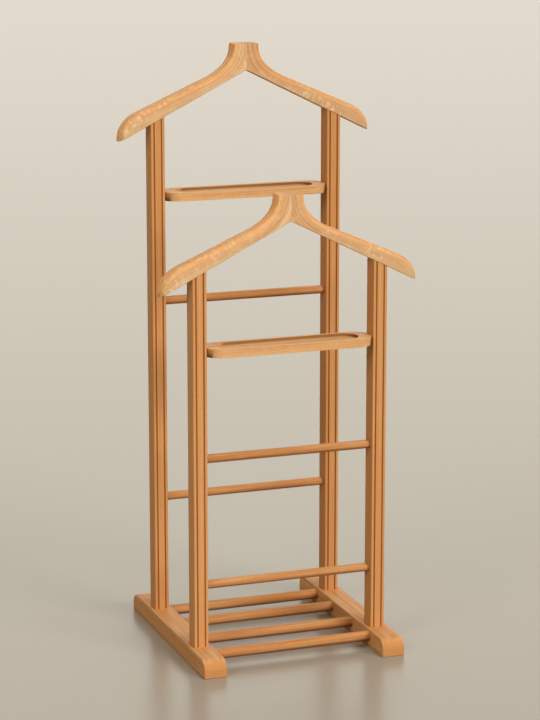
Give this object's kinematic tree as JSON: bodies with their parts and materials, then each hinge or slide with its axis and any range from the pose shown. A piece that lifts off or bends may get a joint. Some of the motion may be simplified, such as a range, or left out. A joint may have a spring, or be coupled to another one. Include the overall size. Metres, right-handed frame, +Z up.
{
  "type": "valet stand",
  "caption": "Free-standing wooden valet stand: low front unit and tall rear unit on shared feet, each with a shaped hanger, recessed tray and trouser bars, and shoe bars below.",
  "frame": {"origin": "on the floor at the middle of the two feet", "axes": "+X to the right along the bars, -Y to the front where the low unit stands, +Z up"},
  "size_m": [0.46, 0.406, 1.03],
  "materials": {
    "frame_wood": "satin lacquered beech",
    "hanger_wood": "satin lacquered beech, a little paler",
    "dowel_wood": "bare hardwood",
    "zinc_steel": "zinc plated"
  },
  "bodies": {
    "root": {"left_foot": "frame_wood", "right_foot": "frame_wood", "front_left_post": "frame_wood", "front_right_post": "frame_wood", "rear_left_post": "frame_wood", "rear_right_post": "frame_wood", "front_hanger_left_arm": "hanger_wood", "front_hanger_right_arm": "hanger_wood", "rear_hanger_left_arm": "hanger_wood", "rear_hanger_right_arm": "hanger_wood", "front_tray": "frame_wood", "rear_tray": "frame_wood", "front_lower_bar": "frame_wood", "front_upper_bar": "frame_wood", "rear_lower_bar": "frame_wood", "rear_upper_bar": "frame_wood", "shoe_bar_1": "frame_wood", "shoe_bar_2": "frame_wood", "shoe_bar_3": "frame_wood", "shoe_bar_4": "frame_wood", "post_top_dowels": "dowel_wood", "hanger_seam_dowels": "dowel_wood", "tray_dowels": "dowel_wood", "foot_screws": "zinc_steel", "foot_dowels": "dowel_wood"}
  },
  "joints": []
}
